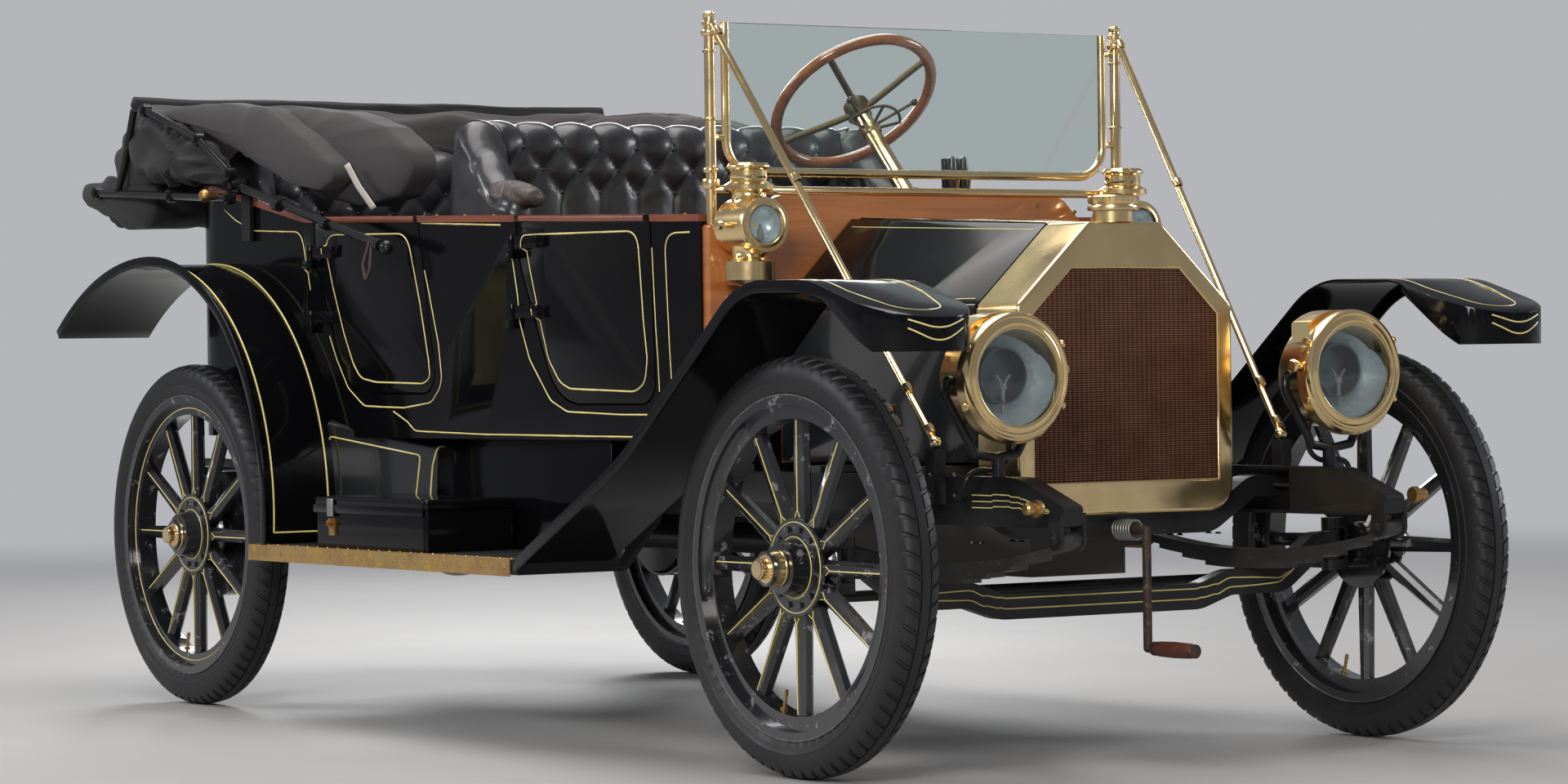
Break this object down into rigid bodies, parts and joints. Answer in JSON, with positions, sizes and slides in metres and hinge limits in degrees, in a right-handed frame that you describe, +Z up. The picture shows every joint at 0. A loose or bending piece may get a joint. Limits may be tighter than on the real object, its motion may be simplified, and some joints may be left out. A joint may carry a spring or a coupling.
{
  "type": "brass era car",
  "caption": "Open brass era touring car with wooden spoke wheels, upright windshield, side doors, opening hood, folded fabric top, brass lamps and steered front wheels.",
  "frame": {"origin": "on the ground under the middle of the car's overall length and width", "axes": "+X towards the radiator, +Y to the car's left, +Z up; the four tyres stand on z = 0"},
  "size_m": [3.82, 1.68, 1.5344],
  "materials": {
    "body_paint": "gloss",
    "chassis_paint": "gloss",
    "wheel_paint": "gloss",
    "hood_panel_paint": "satin",
    "brass": "polished",
    "tyre": "matt",
    "dash_wood": "varnished",
    "rim_wood": "varnished",
    "black_leather": "satin",
    "top_fabric": "matt",
    "glass": "clear",
    "engine_iron": "matt",
    "spring_steel": "satin",
    "core_metal": "aged",
    "crank_steel": "worn"
  },
  "bodies": {
    "car": {"body_rail": "body_paint", "body_tub": "body_paint", "control_levers": "chassis_paint", "dash_board": "dash_wood", "engine_block": "engine_iron", "floor_boards": "chassis_paint", "folded_top": "top_fabric", "frame_cross_members": "chassis_paint", "frame_rails": "chassis_paint", "front_axle": "chassis_paint", "front_fenders": "body_paint", "front_seat": "black_leather", "headlamps": "brass", "hood_ledge": "hood_panel_paint", "hood_rod": "brass", "lamp_brackets": "chassis_paint", "lamp_glass": "glass", "leaf_springs": "spring_steel", "radiator_core": "core_metal", "radiator_shell": "brass", "rear_axle": "chassis_paint", "rear_fenders": "body_paint", "rear_seat": "black_leather", "running_boards": "chassis_paint", "side_lamps": "brass", "splash_aprons": "body_paint", "steering_column": "brass", "tool_box": "body_paint", "top_brackets": "chassis_paint", "windshield_frame": "brass", "windshield_glass": "glass"},
    "knuckle_left": {"knuckle_left": "chassis_paint"},
    "knuckle_right": {"knuckle_right": "chassis_paint"},
    "tie_rod": {"tie_rod": "chassis_paint"},
    "wheel_front_left": {"wheel_front_left": "wheel_paint", "tyre_front_left": "tyre"},
    "wheel_front_right": {"wheel_front_right": "wheel_paint", "tyre_front_right": "tyre"},
    "wheel_rear_left": {"wheel_rear_left": "wheel_paint", "tyre_rear_left": "tyre"},
    "wheel_rear_right": {"wheel_rear_right": "wheel_paint", "tyre_rear_right": "tyre"},
    "steering_wheel": {"steering_wheel": "rim_wood"},
    "crank": {"crank": "crank_steel"},
    "door_front_left": {"door_front_left": "body_paint"},
    "door_front_right": {"door_front_right": "body_paint"},
    "door_rear_left": {"door_rear_left": "body_paint"},
    "door_rear_right": {"door_rear_right": "body_paint"},
    "hood_top_left": {"hood_top_left": "body_paint"},
    "hood_top_right": {"hood_top_right": "body_paint"},
    "hood_side_left": {"hood_side_left": "hood_panel_paint"},
    "hood_side_right": {"hood_side_right": "hood_panel_paint"},
    "tool_box_lid": {"tool_box_lid": "body_paint"},
    "top_iron_left": {"top_iron_left": "chassis_paint"},
    "top_iron_right": {"top_iron_right": "chassis_paint"}
  },
  "joints": [
    {"name": "steering_wheel_turn", "type": "hinge", "parent": "car", "child": "steering_wheel", "pos_m": [0.175, 0.3, 1.389], "axis": [-0.6896, 0, 0.7242], "range_deg": [-270, 270]},
    {"name": "knuckle_left_steer", "type": "hinge", "parent": "car", "child": "knuckle_left", "pos_m": [1.444, 0.615, 0.4064], "axis": [0, 0, 1], "range_deg": [-30, 30]},
    {"name": "knuckle_right_steer", "type": "hinge", "parent": "car", "child": "knuckle_right", "pos_m": [1.444, -0.615, 0.4064], "axis": [0, 0, 1], "range_deg": [-30, 30]},
    {"name": "tie_rod_swing", "type": "hinge", "parent": "knuckle_left", "child": "tie_rod", "pos_m": [1.294, 0.615, 0.3364], "axis": [0, 0, 1], "range_deg": [-30, 30]},
    {"name": "wheel_front_left_spin", "type": "hinge", "parent": "knuckle_left", "child": "wheel_front_left", "pos_m": [1.444, 0.711, 0.4064], "axis": [0, 1, 0], "continuous": true},
    {"name": "wheel_rear_left_spin", "type": "hinge", "parent": "car", "child": "wheel_rear_left", "pos_m": [-1.14, 0.711, 0.4064], "axis": [0, 1, 0], "continuous": true},
    {"name": "wheel_front_right_spin", "type": "hinge", "parent": "knuckle_right", "child": "wheel_front_right", "pos_m": [1.444, -0.711, 0.4064], "axis": [0, 1, 0], "continuous": true},
    {"name": "wheel_rear_right_spin", "type": "hinge", "parent": "car", "child": "wheel_rear_right", "pos_m": [-1.14, -0.711, 0.4064], "axis": [0, 1, 0], "continuous": true},
    {"name": "door_front_left_swing", "type": "hinge", "parent": "car", "child": "door_front_left", "pos_m": [0.18, 0.60953, 0.95], "axis": [0, 0, 1], "range_deg": [0, 80]},
    {"name": "door_rear_left_swing", "type": "hinge", "parent": "car", "child": "door_rear_left", "pos_m": [-0.674, 0.64838, 0.95], "axis": [0, 0, 1], "range_deg": [0, 65]},
    {"name": "door_front_right_swing", "type": "hinge", "parent": "car", "child": "door_front_right", "pos_m": [0.18, -0.60953, 0.95], "axis": [0, 0, -1], "range_deg": [0, 80]},
    {"name": "door_rear_right_swing", "type": "hinge", "parent": "car", "child": "door_rear_right", "pos_m": [-0.674, -0.64838, 0.95], "axis": [0, 0, -1], "range_deg": [0, 65]},
    {"name": "hood_top_left_lift", "type": "hinge", "parent": "car", "child": "hood_top_left", "pos_m": [0.864, 0, 1.0955], "axis": [0.9988, 0, -0.0489], "range_deg": [0, 80]},
    {"name": "hood_side_left_fold", "type": "hinge", "parent": "hood_top_left", "child": "hood_side_left", "pos_m": [0.869, 0.3745, 0.912], "axis": [0.9813, -0.1923, -0.0127], "range_deg": [-80, 0]},
    {"name": "hood_top_right_lift", "type": "hinge", "parent": "car", "child": "hood_top_right", "pos_m": [0.864, 0, 1.0955], "axis": [-0.9988, 0, 0.0489], "range_deg": [0, 80]},
    {"name": "hood_side_right_fold", "type": "hinge", "parent": "hood_top_right", "child": "hood_side_right", "pos_m": [0.869, -0.3745, 0.912], "axis": [-0.9813, -0.1923, 0.0127], "range_deg": [-80, 0]},
    {"name": "tool_box_lid_lift", "type": "hinge", "parent": "car", "child": "tool_box_lid", "pos_m": [-0.1, -0.59, 0.4903], "axis": [-1, 0, 0], "range_deg": [0, 65]},
    {"name": "crank_turn", "type": "hinge", "parent": "car", "child": "crank", "pos_m": [1.604, 0, 0.458], "axis": [1, 0, 0], "continuous": true},
    {"name": "top_iron_left_lift", "type": "hinge", "parent": "car", "child": "top_iron_left", "pos_m": [-0.99, 0.668, 1.233], "axis": [0, -1, 0], "range_deg": [0, 88]},
    {"name": "top_iron_right_lift", "type": "hinge", "parent": "car", "child": "top_iron_right", "pos_m": [-0.99, -0.668, 1.233], "axis": [0, -1, 0], "range_deg": [0, 88]}
  ],
  "couplings": [
    {"joint": "knuckle_left_steer", "follows": "steering_wheel_turn", "ratio": 0.11111},
    {"joint": "knuckle_right_steer", "follows": "steering_wheel_turn", "ratio": 0.11111},
    {"joint": "tie_rod_swing", "follows": "steering_wheel_turn", "ratio": -0.11111},
    {"joint": "hood_side_left_fold", "follows": "hood_top_left_lift", "ratio": -1},
    {"joint": "hood_side_right_fold", "follows": "hood_top_right_lift", "ratio": -1},
    {"joint": "top_iron_left_lift", "follows": "door_rear_left_swing", "ratio": 1.3538},
    {"joint": "top_iron_right_lift", "follows": "door_rear_right_swing", "ratio": 1.3538}
  ]
}
